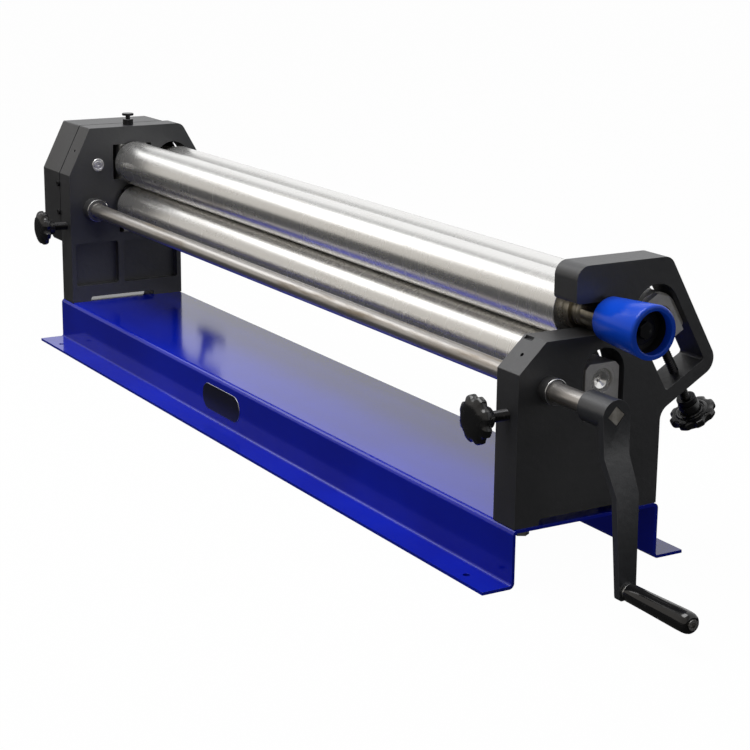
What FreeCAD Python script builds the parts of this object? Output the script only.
import FreeCAD, Part
import math
import os
from FreeCAD import Vector

# Bench slip roll for sheet metal, in millimetres.
# X runs along the rolls towards the crank, Y to the back, Z up.
# The origin is the centre of the four bolt holes, on the surface that the base stands on.

# Frame: folded steel base and the two castings
span = 1400.0                 # outer face of one casting to outer face of the other
casting_thickness = 44.0
base_end = 2.0                # base past each casting
base_width = 214.0            # across the two folded walls
base_height = 72.0
base_sheet = 4.0
base_flange = 41.0
base_bend = 7.0               # outer radius of each fold
base_hole_radius = 4.5
base_hole_pitch_x = 1290.0
base_hole_pitch_y = 265.0
casting_front_inset = 3.0
casting_back_inset = 2.5
crown_height = 64.0           # casting top above the upper roll's axis
front_chamfer = (40.0, 80.0)  # left casting and gear cover, depth and height
nose_chamfer = (37.0, 35.0)   # right casting, below the open channel
nose_notch = (4.0, 16.0, 4.0) # across its upper edge: from the inner face, width and depth
chamfer_bore = (2.5, 12.0)    # radius and depth of the hole in each chamfer
top_corner = 16.0
elbow_corner = 20.0
slot_wall = 15.2              # outside the slanted slot
ledge_wall = 17.7             # below the slanted slot
relief = (34.5, 54.0, 8.0)    # front foot, back foot and height of the gap between the feet
pocket_depth = 12.0
pocket_height = (29.0, 104.0) # bottom and top above the base
pocket_edge = 8.0
pocket_corner = 5.0
rib_width = 10.0
rib_setback = 93.0            # middle of the rib behind the front of the castings
foot_bolt_radius = 5.0
foot_bolt_length = 30.0
foot_bolt_spread = 22.0

# Rolls
roll_radius = 37.5
lower_axis_height = 163.7     # above the top of the base
crank_setback = 43.0          # crank shaft's axis behind the front of the castings
roll_gap = 1.4                # between the upper and the lower roll at rest
rear_gap = 7.7                # between the upper and the rear roll at rest
rear_angle = 8.8              # rear roll below the upper roll, degrees
roll_end_gap = 10.0           # roll body to the inner face of a casting
swing_gap = 5.0               # the same at the pivot of the upper roll
journal_radius = 15.0
stub_radius = 12.5            # journal ends that carry gears
running = 0.05                # radial clearance of everything that turns
end_play = 0.5                # clearance along the axis
bush_wall = 3.5
block_inset = 3.0             # bearing blocks in from the casting's outer face
block_step = 2.0              # the same from its inner face
block_nose = (24.5, 8.0)      # half width of each block's narrower outer end, and its length
block_corner = 12.0
centre_hole = (3.0, 0.5, 6.0)  # radii at the mouth and the bottom, and depth

# Lower bearing blocks, each lifted by a wedge
lower_block_half = 29.4
guide_gap = 0.3
lower_block_top = 21.3        # above the roll's axis
lower_block_bottom = 23.7     # below the roll's axis, at the middle
lift = 1.0                    # each way
wedge_slope = 1.0 / 6.0
wedge_length = 40.0
wedge_floor = 45.7            # slot floor below the roll's axis
wedge_side = 4.0              # wedge in from each face of the casting

# Rear bearing blocks in slanted slots
slot_tilt = 30.0              # degrees from upright
rear_block_half = 32.4
rear_block_foot = 32.0        # roll's axis to the bottom of the block
rear_block_top = 30.0         # roll's axis to the top of its outer end
rear_travel = (45.0, 8.0)     # down and up along the slot
rear_stop = (5.5, 6.4)        # room left past each end of the travel
slot_corner = 4.0

# Upper roll: pivot in the left casting and open channel in the right one
window_reach = (39.0, 33.0)   # in front of and behind the roll's axis
window_rise = (28.0, 33.4)    # below and above the roll's axis
window_corner = 1.5
pivot_radius = 32.0
pivot_gap = 0.4
pivot_pin_radius = 7.0
pivot_pin_grip = 10.0
pivot_foot = (7.0, 6.0)       # radius and depth of the block's lower trunnion
pivot_collar = (9.0, 10.0)
pivot_neck = (4.0, 6.0)
pivot_head = (10.0, 4.0)
channel_half = 19.5
channel_play = 0.3
hook_reach = 44.0             # hook tip in front of the roll's axis
hook_lip = 5.0
hook_nose = 17.0
thrust_collar = (24.0, 8.5)   # radius and length of the flange on the journal bush

# Slip handle on the end of the upper roll
handle_gap = 6.5
handle_length = 82.0
handle_radius = (26.5, 32.5)
handle_bore = 12.0
handle_mouth = (25.0, 24.5)   # radius and depth of the open end
handle_rim = 2.0
handle_washer = (18.0, 3.0)
handle_bolt = (6.0, 9.5, 7.5) # thread radius, head apothem and head height

# Crank
crank_radius = 12.0
crank_tilt = 3.0              # degrees from hanging straight down, towards the back
crank_throw = 200.0
crank_boss = (18.6, 48.0)
crank_reach = 126.0           # end of the shaft past the casting
crank_square = 16.5
arm_thickness = 9.5
arm_widths = (34.5, 31.0, 23.0)
arm_bend = (46.0, 87.0)       # start and end of the bend below the shaft
arm_offset = 20.0
arm_tail = 10.0
arm_end_corner = 4.0
shaft_bush_wall = 4.0
shaft_bush_flange = (19.2, 21.0)
shaft_bush_nose = 14.0
grip_length = 107.0
grip_radius = (10.8, 12.6)
grip_waist = 30.0             # slim start of the grip
grip_crown = 20.0             # its thick end
grip_edge = 2.5
grip_screw_radius = 5.0
grip_screw_head = (6.3, 1.5)
grip_socket = 3.0
ferrule = (9.7, 4.0)

# Gears inside the cover
crank_teeth = 17
drive_teeth = 22
drive_module = 4.0
drive_tooth = 4.3             # tooth thickness on the pitch circle
drive_width = 12.0
pair_teeth = 12
pair_tooth = 6.0
pair_width = 8.0
pair_start = 4.5              # from the casting to the pair of equal gears
gear_space = 4.0              # between the two planes of gears
tooth_slope = 20.0
key = (6.0, 5.0)

# Gear cover
cover_length = 77.0
cover_wall = 4.0
cover_seam = (2.0, 3.0)       # depth and width of the groove round the cover, against the casting
cover_bottom = 95.0           # above the base
cover_reach = 238.0           # front of the cover to its back
cover_low_corner = 30.0
cover_screw = (3.0, 5.0, 3.5) # thread radius, head radius and head height
cover_socket = (2.4, 2.0)     # apothem and depth of the socket in each head
cover_screw_rise = (41.0, -9.0)
cover_lug = 12.0
stud_radius = 11.2
stud_place = (53.5, 76.5)     # behind the front of the castings, and above the lower roll's axis
stud_proud = 2.0
stud_nut = (11.0, 7.0)
stud_end_radius = 6.0

# Adjusting screws and knobs
front_screw_radius = 7.0
front_screw_drop = 29.7       # below the lower roll's axis
front_screw_reach = 45.0      # knob's middle in front of the casting
rear_screw_radius = 6.0
rear_screw_reach = 152.5      # knob's middle below the roll's axis, along the slot
screw_tip = (5.0, 10.0)
knob_radius = 29.4
knob_thickness = 15.0
knob_lobes = 8
knob_scallop = (20.0, 45.8)   # radius of each hollow, and its axis from the knob's
knob_edge = 3.0
knob_hub = (13.0, 13.0)
lock_nut = (12.0, 8.0)

# Worked out from the sizes above
outer_x = span / 2
inner_x = outer_x - casting_thickness
middle_x = outer_x - casting_thickness / 2
front_y = -base_width / 2 + casting_front_inset
back_y = base_width / 2 - casting_back_inset
lower_z = base_height + lower_axis_height
upper_z = lower_z + 2 * roll_radius + roll_gap
top_z = upper_z + crown_height
crank_y = front_y + crank_setback
roll_y = crank_y + drive_module * (crank_teeth + drive_teeth) / 2
rib_y = front_y + rib_setback
stud_y = front_y + stud_place[0]
stud_z = lower_z + stud_place[1]
cover_back = front_y + cover_reach
cover_face = -outer_x - cover_length
lower_slot_half = lower_block_half + guide_gap
slot_half = rear_block_half + guide_gap
rear_pitch = 2 * roll_radius + rear_gap
rear_y = roll_y + rear_pitch * math.cos(math.radians(rear_angle))
rear_z = upper_z - rear_pitch * math.sin(math.radians(rear_angle))
tilt = math.radians(slot_tilt)
slot_up = Vector(0, -math.sin(tilt), math.cos(tilt))
slot_out = Vector(0, math.cos(tilt), math.sin(tilt))
slot_floor = -(rear_block_foot + rear_travel[0] + rear_stop[0])
slot_top = rear_travel[1] + rear_stop[1]
pair_x = -(outer_x + pair_start)
drive_x = pair_x - pair_width - gear_space
front_screw_z = lower_z - front_screw_drop


def rounded_wire(corners, place):
    """Closed outline through corners (u, v, radius), each rounded by its own radius."""
    spans = []
    for i, (u, v, radius) in enumerate(corners):
        before, after = corners[i - 1], corners[(i + 1) % len(corners)]
        corner = Vector(u, v, 0)
        to_before = (Vector(before[0], before[1], 0) - corner).normalize()
        to_after = (Vector(after[0], after[1], 0) - corner).normalize()
        half = to_before.getAngle(to_after) / 2
        if radius == 0:
            spans.append((corner, None, corner))
            continue
        reach = radius / math.tan(half)
        middle = (to_before + to_after).normalize() * (radius / math.sin(half) - radius)
        spans.append((corner + to_before * reach, corner + middle, corner + to_after * reach))
    edges = []
    for i, (start, middle, end) in enumerate(spans):
        if middle is not None:
            edges.append(Part.Arc(place(start), place(middle), place(end)).toShape())
        following = spans[(i + 1) % len(spans)][0]
        if end.distanceToPoint(following) > 1e-6:
            edges.append(Part.LineSegment(place(end), place(following)).toShape())
    return Part.Wire(edges)


def plate(corners, x0, x1):
    """Solid with an outline given as (y, z, radius), from x0 to x1."""
    wire = rounded_wire(corners, lambda p: Vector(x0, p.x, p.y))
    return Part.Face(wire).extrude(Vector(x1 - x0, 0, 0))


def slot_plate(corners, x0, x1):
    """The same with corners given as (across, along, radius) from the rear roll's axis."""
    wire = rounded_wire(corners, lambda p: on_slot(x0, p.x, p.y))
    return Part.Face(wire).extrude(Vector(x1 - x0, 0, 0))


def on_slot(x, across, along):
    return Vector(x, rear_y, rear_z) + slot_out * across + slot_up * along


def rod(start, end, radius):
    axis = end - start
    return Part.makeCylinder(radius, axis.Length, start, axis)


def along_x(x0, x1, radius, y, z):
    return rod(Vector(x0, y, z), Vector(x1, y, z), radius)


def turned(profile, start, direction):
    """Solid of revolution: profile is (distance along the axis, radius) from end to end."""
    points = [Vector(0, 0, profile[0][0])]
    points += [Vector(radius, 0, along) for along, radius in profile]
    points += [Vector(0, 0, profile[-1][0]), points[0]]
    solid = Part.Face(Part.makePolygon(points)).revolve(Vector(0, 0, 0), Vector(0, 0, 1), 360)
    solid.Placement = FreeCAD.Placement(start, FreeCAD.Rotation(Vector(0, 0, 1), direction))
    return solid


def box(low, high):
    return Part.makeBox(high[0] - low[0], high[1] - low[1], high[2] - low[2], Vector(*low))


def hexagon(apothem, height, start, direction):
    """Hexagonal prism, such as a bolt head, growing along direction."""
    corner = apothem / math.cos(math.pi / 6)
    points = [Vector(corner * math.cos(math.pi * i / 3), corner * math.sin(math.pi * i / 3), 0)
              for i in range(7)]
    solid = Part.Face(Part.makePolygon(points)).extrude(Vector(0, 0, height))
    solid.Placement = FreeCAD.Placement(start, FreeCAD.Rotation(Vector(0, 0, 1), direction))
    return solid


def mirrored(shape):
    return shape.mirror(Vector(0, 0, 0), Vector(1, 0, 0))


def gear(teeth, module, tooth, width, bore, x0, y, z, first_tooth):
    """Spur gear towards -X from x0, with a tooth pointing at first_tooth degrees from +Y."""
    pitch = module * teeth / 2
    tip = pitch + 0.9 * module
    root = pitch - 1.15 * module
    slope = math.tan(math.radians(tooth_slope))

    def point(radius, angle):
        return Vector(x0, y + radius * math.cos(angle), z + radius * math.sin(angle))

    def half_angle(radius):
        return (tooth / 2 - (radius - pitch) * slope) / radius

    edges = []
    step = 2 * math.pi / teeth
    for i in range(teeth):
        middle = math.radians(first_tooth) + i * step
        low, high = half_angle(root), half_angle(tip)
        foot_a, tip_a = point(root, middle - low), point(tip, middle - high)
        tip_b, foot_b = point(tip, middle + high), point(root, middle + low)
        edges.append(Part.LineSegment(foot_a, tip_a).toShape())
        edges.append(Part.Arc(tip_a, point(tip, middle), tip_b).toShape())
        edges.append(Part.LineSegment(tip_b, foot_b).toShape())
        valley = point(root, middle + step / 2)
        edges.append(Part.Arc(foot_b, valley, point(root, middle + step - low)).toShape())
    blank = Part.Face(Part.Wire(edges)).extrude(Vector(-width, 0, 0))
    return blank.cut(along_x(x0 + 1, x0 - width - 1, bore, y, z))


def base_plate():
    """Hat section folded from one sheet: top, two walls and two flanges."""
    wall = base_width / 2
    edge = wall + base_flange
    inner_bend = base_bend - base_sheet
    half = [(edge, 0, 0), (edge, base_sheet, 0), (wall, base_sheet, inner_bend),
            (wall, base_height, base_bend)]
    under = [(wall - base_sheet, 0, base_bend), (wall - base_sheet, base_height - base_sheet, inner_bend)]
    corners = half + [(-y, z, r) for y, z, r in reversed(half)]
    corners += [(-y, z, r) for y, z, r in under] + list(reversed(under))
    base = plate(corners, -outer_x - base_end, outer_x + base_end)
    for x in (-base_hole_pitch_x / 2, base_hole_pitch_x / 2):
        for y in (-base_hole_pitch_y / 2, base_hole_pitch_y / 2):
            base = base.cut(rod(Vector(x, y, -1), Vector(x, y, base_sheet + 1), base_hole_radius))
    for x, y in foot_bolt_places():
        base = base.cut(rod(Vector(x, y, 0), Vector(x, y, base_height + 1), foot_bolt_radius + running))
    return base


def foot_bolt_places():
    rows = (front_y + relief[0] / 2, back_y - relief[1] / 2)
    return [(side * middle_x + shift, y) for side in (-1, 1) for y in rows
            for shift in (-foot_bolt_spread / 2, foot_bolt_spread / 2)]


def foot_bolts():
    start = base_height - base_sheet
    bolts = []
    for x, y in foot_bolt_places():
        head = hexagon(1.7 * foot_bolt_radius, 1.3 * foot_bolt_radius, Vector(x, y, start), Vector(0, 0, -1))
        shank = rod(Vector(x, y, start), Vector(x, y, start + foot_bolt_length), foot_bolt_radius)
        bolts.append(head.fuse(shank))
    return Part.makeCompound(bolts)


def back_outline():
    """Corners from the casting's top over the slanted arm and down to the back foot."""
    edge = slot_half + slot_wall
    rise = (top_z - rear_z - edge * math.sin(tilt)) / math.cos(tilt)
    high = on_slot(0, edge, rise)
    ledge = slot_floor - ledge_wall
    elbow = on_slot(0, edge, ledge)
    across = (back_y - rear_y + ledge * math.sin(tilt)) / math.cos(tilt)
    heel = on_slot(0, across, ledge)
    return [(high.y, high.z, top_corner), (elbow.y, elbow.z, elbow_corner), (heel.y, heel.z, elbow_corner),
            (back_y, base_height, 0), (back_y - relief[1], base_height, 0),
            (back_y - relief[1], base_height + relief[2], relief[2] / 2),
            (front_y + relief[0], base_height + relief[2], relief[2] / 2),
            (front_y + relief[0], base_height, 0), (front_y, base_height, 0)]


def lower_slot(x0, x1):
    """Upright slot of a lower block: wedge floor, parallel sides and a round top."""
    arc = lower_z + lower_block_top - block_corner + lift + guide_gap
    top = arc + lower_slot_half
    floor = lower_z - wedge_floor
    low, high = roll_y - lower_slot_half, roll_y + lower_slot_half
    return plate([(low, floor, 2), (high, floor, 2), (high, top, lower_slot_half),
                  (low, top, lower_slot_half)], x0, x1)


def rear_slot(x0, x1):
    top = slot_top + slot_half
    return slot_plate([(-slot_half, slot_floor, slot_corner), (slot_half, slot_floor, slot_corner),
                       (slot_half, top, slot_half), (-slot_half, top, slot_half)], x0, x1)


def shared_openings():
    """What both castings have: slots, screw holes, shaft bore, pockets and bolt holes, on the right."""
    x0, x1 = inner_x - 1, outer_x + 1
    tools = [lower_slot(x0, x1), rear_slot(x0, x1)]
    tools.append(along_x(x0, x1, crank_radius + shaft_bush_wall, crank_y, lower_z))
    tools.append(rod(Vector(middle_x, front_y - 1, front_screw_z), Vector(middle_x, roll_y, front_screw_z),
                     front_screw_radius + running))
    tools.append(rod(on_slot(middle_x, 0, slot_floor + 1), on_slot(middle_x, 0, slot_floor - ledge_wall - 1),
                     rear_screw_radius + running))
    low, high = base_height + pocket_height[0], base_height + pocket_height[1]
    rib = (rib_y - rib_width / 2, rib_y + rib_width / 2)
    for y0, y1 in ((front_y + pocket_edge, rib[0]), (rib[1], back_y - pocket_edge)):
        tools.append(plate([(y0, low, pocket_corner), (y1, low, pocket_corner), (y1, high, pocket_corner),
                            (y0, high, pocket_corner)], x0, inner_x + pocket_depth))
    for x, y in foot_bolt_places():
        if x > 0:
            top = base_height - base_sheet + foot_bolt_length + 2
            tools.append(rod(Vector(x, y, base_height - 1), Vector(x, y, top), foot_bolt_radius))
    return tools


def right_casting():
    """Casting with the open channel: the journal leaves it forwards, under the hook."""
    floor = upper_z - channel_half
    ceiling = upper_z + channel_half
    tip = roll_y - hook_reach
    end = roll_y + channel_half
    corners = [(front_y, floor - nose_chamfer[1], 2), (front_y + nose_chamfer[0], floor, 2),
               (end, floor, channel_half), (end, ceiling, channel_half), (tip, ceiling, hook_lip),
               (tip, top_z, hook_nose)]
    casting = plate(corners + back_outline(), inner_x, outer_x)
    casting = casting.cut(shared_openings())
    middle = Vector(middle_x, front_y + nose_chamfer[0] / 2, floor - nose_chamfer[1] / 2)
    start, width, depth = nose_notch
    edge = front_y + nose_chamfer[0]
    notch = box((inner_x + start, edge - 2 * depth, floor - depth),
                (inner_x + start + width, edge + 1, floor + 1))
    return casting.cut([chamfer_hole(middle, nose_chamfer), notch])


def chamfer_hole(middle, chamfer):
    """Blind tapped hole square to a chamfer that is (depth, height) in size."""
    lean = Vector(0, -chamfer[1], chamfer[0]).normalize()
    return rod(middle + lean, middle - lean * chamfer_bore[1], chamfer_bore[0])


def left_casting():
    """Casting with the square window in which the upper roll's pivot block turns."""
    corners = [(front_y, top_z - front_chamfer[1], 2), (front_y + front_chamfer[0], top_z, 2)]
    casting = mirrored(plate(corners + back_outline(), inner_x, outer_x))
    tools = [mirrored(tool) for tool in shared_openings()]
    low, high = upper_z - window_rise[0], upper_z + window_rise[1]
    near, far = roll_y - window_reach[0], roll_y + window_reach[1]
    tools.append(plate([(near, low, window_corner), (far, low, window_corner),
                        (far, high, window_corner), (near, high, window_corner)],
                       -outer_x - 1, -inner_x + 1))
    pin, foot = pivot_pin_radius, pivot_foot[0] + running
    tools.append(rod(Vector(-middle_x, roll_y, high - 1), Vector(-middle_x, roll_y, top_z + 1), pin))
    tools.append(rod(Vector(-middle_x, roll_y, low - pivot_foot[1] - pivot_gap),
                     Vector(-middle_x, roll_y, low + 1), foot))
    tools.append(along_x(-outer_x - 1, -inner_x + 1, stud_radius, stud_y, stud_z))
    middle = Vector(-middle_x, front_y + front_chamfer[0] / 2, top_z - front_chamfer[1] / 2)
    tools.append(chamfer_hole(middle, front_chamfer))
    casting = casting.cut(tools)
    for rise in cover_screw_rise:
        z = lower_z + rise
        lug = box((-outer_x - cover_lug, front_y + cover_wall, z - cover_lug / 2),
                  (-outer_x, front_y + cover_wall + cover_lug, z + cover_lug / 2))
        casting = casting.fuse(lug).cut(cover_screw_hole(z, cover_screw[0]))
    return casting.removeSplitter()


def cover_screw_hole(z, radius):
    x = -outer_x - cover_lug / 2
    return rod(Vector(x, front_y - 1, z), Vector(x, front_y + cover_wall + cover_lug + 1, z), radius)


def cover_outline(inset):
    """Octagon of the cover, moved inwards by inset on every side."""
    bottom = base_height + cover_bottom
    low, shoulder = bottom + cover_low_corner, top_z - front_chamfer[1]
    places = [(front_y, low), (front_y, shoulder), (front_y + front_chamfer[0], top_z),
              (cover_back - front_chamfer[0], top_z), (cover_back, shoulder), (cover_back, low),
              (cover_back - cover_low_corner, bottom), (front_y + cover_low_corner / 2, bottom)]
    corners = [Vector(y, z, 0) for y, z in places]
    if inset == 0:
        return corners
    moved = []
    for i, corner in enumerate(corners):
        into = (corner - corners[i - 1]).normalize()
        out = (corners[(i + 1) % len(corners)] - corner).normalize()
        inward = Vector(into.y, -into.x, 0) + Vector(out.y, -out.x, 0)
        inward.normalize()
        share = inward.dot(Vector(into.y, -into.x, 0))
        moved.append(corner + inward * (inset / share))
    return moved


def gear_cover():
    """Closed shell over the gears, open towards the casting, with a groove round its open edge."""
    outside = [(p.x, p.y, 3) for p in cover_outline(0)]
    inside = [(p.x, p.y, 1) for p in cover_outline(cover_wall)]
    edge = [(p.x, p.y, 2) for p in cover_outline(cover_seam[0])]
    shell = plate(outside, cover_face, -outer_x - cover_seam[1])
    cover = shell.fuse(plate(edge, -outer_x - cover_seam[1], -outer_x)).removeSplitter()
    cover = cover.cut(plate(inside, cover_face + cover_wall, -outer_x + 1))
    for rise in cover_screw_rise:
        cover = cover.cut(cover_screw_hole(lower_z + rise, cover_screw[0] + running))
    return cover.cut(along_x(cover_face - 1, cover_face + cover_wall + 1, stud_end_radius + running,
                             stud_y, stud_z))


def cover_stud():
    """Turned stud through the casting; its thinner end carries the cover."""
    shoulder = cover_face + cover_wall
    end = cover_face - stud_nut[1] - stud_proud
    stud = along_x(-inner_x + stud_proud, shoulder, stud_radius, stud_y, stud_z)
    return stud.fuse(along_x(shoulder, end, stud_end_radius, stud_y, stud_z))


def cover_nut():
    centre = Vector(cover_face, stud_y, stud_z)
    nut = hexagon(stud_nut[0], stud_nut[1], centre, Vector(-1, 0, 0))
    return nut.cut(rod(centre + Vector(1, 0, 0), centre - Vector(stud_nut[1] + 1, 0, 0), stud_end_radius))


def cover_screws():
    screws = []
    for rise in cover_screw_rise:
        start = Vector(-outer_x - cover_lug / 2, front_y, lower_z + rise)
        end = start + Vector(0, cover_wall + cover_lug - 1, 0)
        head = rod(start, start - Vector(0, cover_screw[2], 0), cover_screw[1])
        face = start - Vector(0, cover_screw[2], 0)
        socket = hexagon(cover_socket[0], cover_socket[1], face, Vector(0, 1, 0))
        screws.append(head.cut(socket).fuse(rod(start, end, cover_screw[0])))
    return Part.makeCompound(screws)


def shaft_bush(side):
    """Flanged bush of the crank shaft; the right one stands out as a plain nose."""
    radius = crank_radius + shaft_bush_wall
    if side < 0:
        bush = along_x(-outer_x, -inner_x, radius, crank_y, lower_z)
        flange = along_x(-inner_x, -inner_x + shaft_bush_flange[1], shaft_bush_flange[0], crank_y, lower_z)
        bush = bush.fuse(flange)
    else:
        bush = along_x(inner_x, outer_x + shaft_bush_nose, radius, crank_y, lower_z)
    return bush.cut(along_x(-span, span, crank_radius + running, crank_y, lower_z))


def pivot_screw():
    """Pivot pin from the top of the left casting, with a collar, a neck and a flat head."""
    tip = upper_z + window_rise[1] - pivot_gap - pivot_pin_grip + end_play
    heights = [tip - top_z, 0, pivot_collar[1], pivot_collar[1] + pivot_neck[1],
               pivot_collar[1] + pivot_neck[1] + pivot_head[1]]
    profile = [(heights[0], pivot_pin_radius), (heights[1], pivot_pin_radius), (heights[1], pivot_collar[0]),
               (heights[2], pivot_collar[0]), (heights[2], pivot_neck[0]), (heights[3], pivot_neck[0]),
               (heights[3], pivot_head[0]), (heights[4], pivot_head[0])]
    return turned(profile, Vector(-middle_x, roll_y, top_z), Vector(0, 0, 1))


def pivot_block():
    """Barrel block between flats, with the cross bore of the upper roll's bush."""
    low, high = upper_z - window_rise[0] + pivot_gap, upper_z + window_rise[1] - pivot_gap
    barrel = rod(Vector(-middle_x, roll_y, low), Vector(-middle_x, roll_y, high), pivot_radius)
    flats = box((-outer_x + 1, roll_y - pivot_radius, low), (-inner_x - 1, roll_y + pivot_radius, high))
    block = barrel.common(flats)
    foot = rod(Vector(-middle_x, roll_y, low), Vector(-middle_x, roll_y, low - pivot_gap - pivot_foot[1]),
               pivot_foot[0])
    block = block.fuse(foot).cut(along_x(-outer_x, -inner_x, journal_radius + bush_wall, roll_y, upper_z))
    socket = rod(Vector(-middle_x, roll_y, high - pivot_pin_grip), Vector(-middle_x, roll_y, high + 1),
                 pivot_pin_radius + running)
    return block.cut(socket)


def bush(x0, x1, y, z):
    ring = along_x(x0, x1, journal_radius + bush_wall, y, z)
    return ring.cut(along_x(x0 - 1, x1 + 1, journal_radius + running, y, z))


def upper_roll():
    """Roll with a stub for its gear on the left and a spindle for the slip handle on the right."""
    body = along_x(-inner_x + swing_gap, inner_x - roll_end_gap, roll_radius, roll_y, upper_z)
    left = along_x(-outer_x - 1, -inner_x + swing_gap, journal_radius, roll_y, upper_z)
    stub = along_x(pair_x - pair_width - 1, -outer_x, stub_radius, roll_y, upper_z)
    shoulder = outer_x + handle_gap - 0.3
    right = along_x(inner_x - roll_end_gap, shoulder, journal_radius, roll_y, upper_z)
    spindle = along_x(inner_x, handle_seat(), handle_bore, roll_y, upper_z)
    roll = body.multiFuse([left, stub, right, spindle]).removeSplitter()
    return roll.cut(along_x(handle_seat() - 30, handle_seat() + 1, handle_bolt[0], roll_y, upper_z))


def handle_seat():
    return outer_x + handle_gap + handle_length - handle_mouth[1] + end_play


def journal_bush():
    """Bush that rides in the open channel, with a thrust flange against the roll."""
    start = inner_x - roll_end_gap + end_play
    flange = along_x(start, start + thrust_collar[1], thrust_collar[0], roll_y, upper_z)
    sleeve = along_x(start, outer_x - 1, channel_half - channel_play, roll_y, upper_z)
    return flange.fuse(sleeve).cut(along_x(start - 1, outer_x, journal_radius, roll_y, upper_z))


def slip_handle():
    """Tapered sleeve that turns freely on the spindle, open at its wide end."""
    start = outer_x + handle_gap
    end = start + handle_length
    small, large = handle_radius
    profile = [(0, small), (handle_length - handle_rim, large), (handle_length, large - handle_rim)]
    sleeve = turned(profile, Vector(start, roll_y, upper_z), Vector(1, 0, 0))
    bore = along_x(start - 1, end, handle_bore + running, roll_y, upper_z)
    return sleeve.cut([bore, along_x(end - handle_mouth[1], end + 1, handle_mouth[0], roll_y, upper_z)])


def handle_washer_ring():
    start = handle_seat()
    ring = along_x(start, start + handle_washer[1], handle_washer[0], roll_y, upper_z)
    return ring.cut(along_x(start - 1, start + handle_washer[1] + 1, handle_bolt[0], roll_y, upper_z))


def handle_bolt_solid():
    start = handle_seat() + handle_washer[1]
    head = hexagon(handle_bolt[1], handle_bolt[2], Vector(start, roll_y, upper_z), Vector(1, 0, 0))
    return head.fuse(along_x(start - handle_washer[1] - 28, start, handle_bolt[0], roll_y, upper_z))


def lower_roll():
    """Roll with journals in the lower blocks and a long stub for its two gears."""
    body = along_x(-inner_x + roll_end_gap, inner_x - roll_end_gap, roll_radius, roll_y, lower_z)
    left = along_x(-outer_x - 1, -inner_x + roll_end_gap, journal_radius, roll_y, lower_z)
    stub = along_x(drive_x - drive_width - 3, -outer_x, stub_radius, roll_y, lower_z)
    right = along_x(inner_x - roll_end_gap, outer_x - 2 * block_inset, journal_radius, roll_y, lower_z)
    roll = body.multiFuse([left, stub, right]).removeSplitter()
    return roll.cut(centre_cone(roll_y, lower_z))


def centre_cone(y, z):
    start = Vector(outer_x - 2 * block_inset, y, z)
    return Part.makeCone(centre_hole[0], centre_hole[1], centre_hole[2], start, Vector(-1, 0, 0))


def rear_roll():
    body = along_x(-inner_x + roll_end_gap, inner_x - roll_end_gap, roll_radius, rear_y, rear_z)
    end = outer_x - 2 * block_inset
    roll = body.fuse(along_x(-end, end, journal_radius, rear_y, rear_z)).removeSplitter()
    return roll.cut(centre_cone(rear_y, rear_z))


def lower_block():
    """Right block: full-width guide with cut corners, narrower outer end, underside on the wedge."""
    top = lower_z + lower_block_top

    def under(shift):
        return lower_z - lower_block_bottom - shift * wedge_slope

    def outline(wide, cut):
        return [(roll_y - wide, under(-wide), 0), (roll_y + wide, under(wide), 0),
                (roll_y + wide, top - cut, 0), (roll_y + wide - cut, top, 0),
                (roll_y - wide + cut, top, 0), (roll_y - wide, top - cut, 0)]

    guide_end = outer_x - block_inset - block_nose[1]
    guide = plate(outline(lower_block_half, block_corner), inner_x + block_step, guide_end)
    nose = plate(outline(block_nose[0], block_corner / 2), guide_end, outer_x - block_inset)
    return guide.fuse(nose).cut(along_x(inner_x, outer_x, journal_radius + bush_wall, roll_y, lower_z))


def wedge():
    """Right wedge: flat on the slot's floor, sloping top under the block, bore for the screw's tip."""
    half = wedge_length / 2
    floor = lower_z - wedge_floor + running
    top = lower_z - lower_block_bottom - running

    drop = half * wedge_slope
    corners = [(roll_y - half, floor, 0), (roll_y + half, floor, 0), (roll_y + half, top - drop, 0),
               (roll_y - half, top + drop, 0)]
    body = plate(corners, inner_x + wedge_side, outer_x - wedge_side)
    start = Vector(middle_x, roll_y - half, front_screw_z)
    end = start + Vector(0, screw_tip[1] + 1, 0)
    return body.cut(rod(start - Vector(0, 1, 0), end, screw_tip[0] + running))


def rear_block():
    """Right block of the rear roll: round top between the slot's sides, narrower outer end."""
    half, wide, cut = rear_block_half, block_nose[0], block_corner
    foot, top = -rear_block_foot, rear_block_top
    guide_end = outer_x - block_inset - block_nose[1]
    guide = slot_plate([(-half, foot, slot_corner), (half, foot, slot_corner), (half, half, half),
                        (-half, half, half)], inner_x + block_step, guide_end)
    nose = slot_plate([(-wide, foot, 0), (wide, foot, 0), (wide, top - cut, 0), (wide - cut, top, 0),
                       (cut - wide, top, 0), (-wide, top - cut, 0)], guide_end, outer_x - block_inset)
    bore = along_x(inner_x, outer_x, journal_radius + bush_wall, rear_y, rear_z)
    socket = rod(on_slot(middle_x, 0, foot - 1), on_slot(middle_x, 0, foot + screw_tip[1] + 1),
                 screw_tip[0] + running)
    return guide.fuse(nose).cut([bore, socket])


def front_screw():
    """Right front screw: turned tip in the wedge, thread through the casting."""
    start = roll_y - wedge_length / 2
    end = front_y - front_screw_reach

    def at(y):
        return Vector(middle_x, y, front_screw_z)

    tip = rod(at(start + screw_tip[1]), at(start), screw_tip[0])
    return tip.fuse(rod(at(start), at(end), front_screw_radius))


def rear_screw():
    start = on_slot(middle_x, 0, -rear_block_foot)
    tip = rod(start + slot_up * screw_tip[1], start, screw_tip[0])
    return tip.fuse(rod(start, on_slot(middle_x, 0, -rear_screw_reach), rear_screw_radius))


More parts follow.
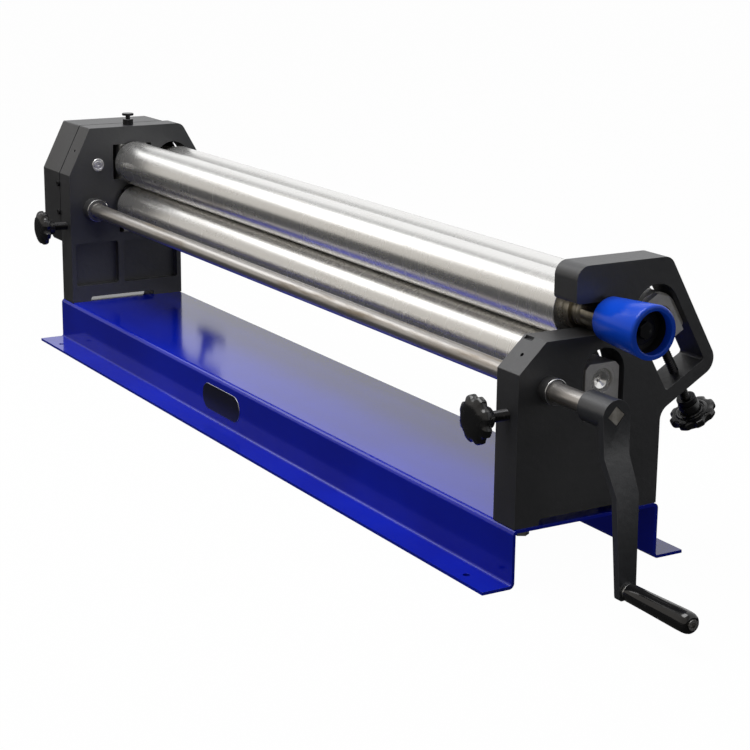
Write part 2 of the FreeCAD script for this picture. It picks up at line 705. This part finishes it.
def knob(centre, outward, screw_radius):
    """Star knob: scalloped disc with rounded edges on a hub, blind bore for its screw."""
    inward = outward * -1
    disc = turned([(0, knob_radius - knob_edge), (knob_edge, knob_radius), (knob_thickness, knob_radius)],
                  Vector(0, 0, 0), Vector(0, 0, 1))
    reach = knob_scallop[1]
    cuts = [Part.makeCylinder(knob_scallop[0], knob_thickness + 2,
                              Vector(reach * math.cos(2 * math.pi * i / knob_lobes),
                                     reach * math.sin(2 * math.pi * i / knob_lobes), -1))
            for i in range(knob_lobes)]
    head = disc.cut(cuts)
    hub = Part.makeCylinder(knob_hub[0], knob_hub[1], Vector(0, 0, knob_thickness))
    solid = head.fuse(hub)
    bore = Part.makeCylinder(screw_radius, knob_thickness + knob_hub[1], Vector(0, 0, knob_thickness / 2))
    solid = solid.cut(bore)
    start = centre + outward * (knob_thickness / 2)
    solid.Placement = FreeCAD.Placement(start, FreeCAD.Rotation(Vector(0, 0, 1), inward))
    return solid


def front_knob():
    centre = Vector(middle_x, front_y - front_screw_reach, front_screw_z)
    return knob(centre, Vector(0, -1, 0), front_screw_radius)


def rear_knob():
    return knob(on_slot(middle_x, 0, -rear_screw_reach), slot_up * -1, rear_screw_radius)


def rear_lock_nut():
    start = on_slot(middle_x, 0, -rear_screw_reach + knob_thickness / 2 + knob_hub[1])
    end = start + slot_up * lock_nut[1]
    nut = rod(start, end, lock_nut[0])
    return nut.cut(rod(start - slot_up, end + slot_up, rear_screw_radius))


def hung(shape):
    """The shape turned about the crank shaft, from straight down to the crank's place at rest."""
    shape.rotate(Vector(0, crank_y, lower_z), Vector(1, 0, 0), crank_tilt)
    return shape


def crank_shaft():
    """Shaft along the whole machine, with a squared end for the crank."""
    end = outer_x + crank_reach
    boss_start = end - crank_boss[1]
    shaft = along_x(drive_x - drive_width - 4, boss_start + 2, crank_radius, crank_y, lower_z)
    half = crank_square / 2
    square = box((boss_start, crank_y - half, lower_z - half), (end, crank_y + half, lower_z + half))
    lying = square.copy()
    lying.rotate(Vector(end, crank_y, lower_z), Vector(1, 0, 0), 45)
    lying = lying.common(along_x(boss_start, end, crank_radius, crank_y, lower_z))
    return shaft.fuse(hung(lying)).removeSplitter()


def crank_arm():
    """Boss with a square hole, flat tapered arm with one outward bend."""
    end = outer_x + crank_reach
    boss = along_x(end - crank_boss[1], end, crank_boss[0], crank_y, lower_z)
    near, far = end - arm_thickness, end
    bend_top, bend_end = lower_z - arm_bend[0], lower_z - arm_bend[1]
    bottom = lower_z - crank_throw - arm_tail
    side = [Vector(near, 0, lower_z), Vector(far, 0, lower_z), Vector(far, 0, bend_top),
            Vector(far + arm_offset, 0, bend_end), Vector(far + arm_offset, 0, bottom),
            Vector(near + arm_offset, 0, bottom), Vector(near + arm_offset, 0, bend_end - 2),
            Vector(near, 0, bend_top - 2)]
    wide = crank_boss[0] * 2
    strip = Part.Face(Part.makePolygon([p + Vector(0, crank_y - wide, 0) for p in side + side[:1]]))
    strip = strip.extrude(Vector(0, 2 * wide, 0))
    top, mid, low = (w / 2 for w in arm_widths)
    edge = [(crank_boss[0], lower_z, 0), (top, bend_top, 0), (mid, bend_end, 0),
            (low, bottom, arm_end_corner)]
    front = [(crank_y - y, z, r) for y, z, r in edge] + [(crank_y + y, z, r) for y, z, r in reversed(edge)]
    blade = strip.common(plate(front, near - 1, far + arm_offset + 1))
    half = crank_square / 2
    hole = box((end - span, crank_y - half, lower_z - half), (end + 1, crank_y + half, lower_z + half))
    hole.rotate(Vector(end, crank_y, lower_z), Vector(1, 0, 0), 45)
    socket = along_x(end - crank_boss[1] - 1, end - crank_boss[1] + 2, crank_radius, crank_y, lower_z)
    arm = boss.fuse(blade).removeSplitter()
    arm = arm.cut(hole.common(along_x(end - span, end + 1, crank_radius, crank_y, lower_z)))
    arm = arm.cut(socket)
    return arm.cut(along_x(end, end + arm_offset + 1, grip_screw_radius, crank_y, lower_z - crank_throw))


def grip_start():
    return outer_x + crank_reach + arm_offset


def crank_ferrule():
    start = grip_start()
    z = lower_z - crank_throw
    ring = along_x(start, start + ferrule[1], ferrule[0], crank_y, z)
    return ring.cut(along_x(start - 1, start + ferrule[1] + 1, grip_screw_radius, crank_y, z))


def crank_grip():
    """Grip that turns on its screw, thicker towards its end."""
    start = grip_start() + ferrule[1] + 0.3
    small, large = grip_radius
    profile = [(0, small), (grip_waist, small + grip_edge / 4), (grip_length - grip_crown, large),
               (grip_length - grip_edge, large), (grip_length, large - grip_edge)]
    z = lower_z - crank_throw
    grip = turned(profile, Vector(start, crank_y, z), Vector(1, 0, 0))
    return grip.cut(along_x(start - 1, start + grip_length + 1, grip_screw_radius + running, crank_y, z))


def grip_screw():
    """Screw that carries the grip, with a hexagon socket in its head."""
    start = outer_x + crank_reach + arm_offset - arm_thickness
    face = grip_start() + ferrule[1] + 0.6 + grip_length
    z = lower_z - crank_throw
    shank = along_x(start, face, grip_screw_radius, crank_y, z)
    head = along_x(face, face + grip_screw_head[1], grip_screw_head[0], crank_y, z)
    socket = hexagon(grip_socket, 5, Vector(face + grip_screw_head[1] - 5, crank_y, z), Vector(1, 0, 0))
    return shank.fuse(head).cut(socket)


def key_bar(radius, x0, width, y, z):
    """Key sunk half in a shaft of that radius and half in its gear."""
    return box((x0 - width, y - key[0] / 2, z + radius - key[1] / 2),
               (x0, y + key[0] / 2, z + radius + key[1] / 2))


def gears():
    """The four gears, in mesh: crank pinion with drive gear, and the equal pair."""
    pair_module = 2 * roll_radius / pair_teeth
    return {"crank_pinion": gear(crank_teeth, drive_module, drive_tooth, drive_width, crank_radius,
                                 drive_x, crank_y, lower_z, 0),
            "lower_drive_gear": gear(drive_teeth, drive_module, drive_tooth, drive_width, stub_radius,
                                     drive_x, roll_y, lower_z, 180 - 180 / drive_teeth),
            "lower_roll_gear": gear(pair_teeth, pair_module, pair_tooth, pair_width, stub_radius,
                                    pair_x, roll_y, lower_z, 90),
            "upper_roll_gear": gear(pair_teeth, pair_module, pair_tooth, pair_width, stub_radius,
                                    pair_x, roll_y, upper_z, 270 - 180 / pair_teeth)}


def fixed_pieces():
    """Frame, castings, cover and what is screwed or pressed into them."""
    return {"base_plate": base_plate(), "left_casting": left_casting(), "right_casting": right_casting(),
            "foot_bolts": foot_bolts(), "gear_cover": gear_cover(), "cover_stud": cover_stud(),
            "cover_nut": cover_nut(), "cover_screws": cover_screws(), "shaft_bush_left": shaft_bush(-1),
            "shaft_bush_right": shaft_bush(1), "pivot_screw": pivot_screw()}


def turning_pieces():
    """Rolls, crank and pivot, with gears and keys in the keyways that they share."""
    keys = {"crank_key": (crank_radius, drive_x, drive_width, crank_y, lower_z),
            "drive_gear_key": (stub_radius, drive_x, drive_width, roll_y, lower_z),
            "lower_gear_key": (stub_radius, pair_x, pair_width, roll_y, lower_z),
            "upper_gear_key": (stub_radius, pair_x, pair_width, roll_y, upper_z)}
    named = {name: key_bar(*place) for name, place in keys.items()}
    keyed = gears()
    keyed.update({"crank_shaft": crank_shaft(), "lower_roll": lower_roll(), "upper_roll": upper_roll()})
    for name, solid in keyed.items():
        near = [bar for bar in named.values() if bar.distToShape(solid)[0] < running]
        keyed[name] = solid.cut(near)
    named.update(keyed)
    named.update({"rear_roll": rear_roll(), "pivot_block": pivot_block(),
                  "pivot_bush": bush(-outer_x + 1, -inner_x - 1, roll_y, upper_z),
                  "journal_bush": journal_bush(), "slip_handle": slip_handle(),
                  "handle_washer": handle_washer_ring(), "handle_bolt": handle_bolt_solid(),
                  "crank_arm": hung(crank_arm()), "crank_ferrule": hung(crank_ferrule()),
                  "crank_grip": hung(crank_grip()), "grip_screw": hung(grip_screw())})
    return named


def paired_pieces():
    """Bearing blocks, bushes, wedges, screws and knobs, on the right and mirrored on the left."""
    x0, x1 = inner_x + block_step, outer_x - block_inset
    return {"lower_block": lower_block(), "lower_bush": bush(x0, x1, roll_y, lower_z),
            "lower_wedge": wedge(), "front_screw": front_screw(), "front_knob": front_knob(),
            "rear_block": rear_block(), "rear_bush": bush(x0, x1, rear_y, rear_z),
            "rear_screw": rear_screw(), "rear_knob": rear_knob(), "rear_lock_nut": rear_lock_nut()}


def pieces():
    """Every node's name and its solid."""
    named = {**fixed_pieces(), **turning_pieces()}
    for name, solid in paired_pieces().items():
        named[name + "_right"] = solid
        named[name + "_left"] = mirrored(solid)
    return named


os.makedirs("parts", exist_ok=True)
for node, shape in pieces().items():
    shape.exportStep(os.path.join("parts", node + ".step"))
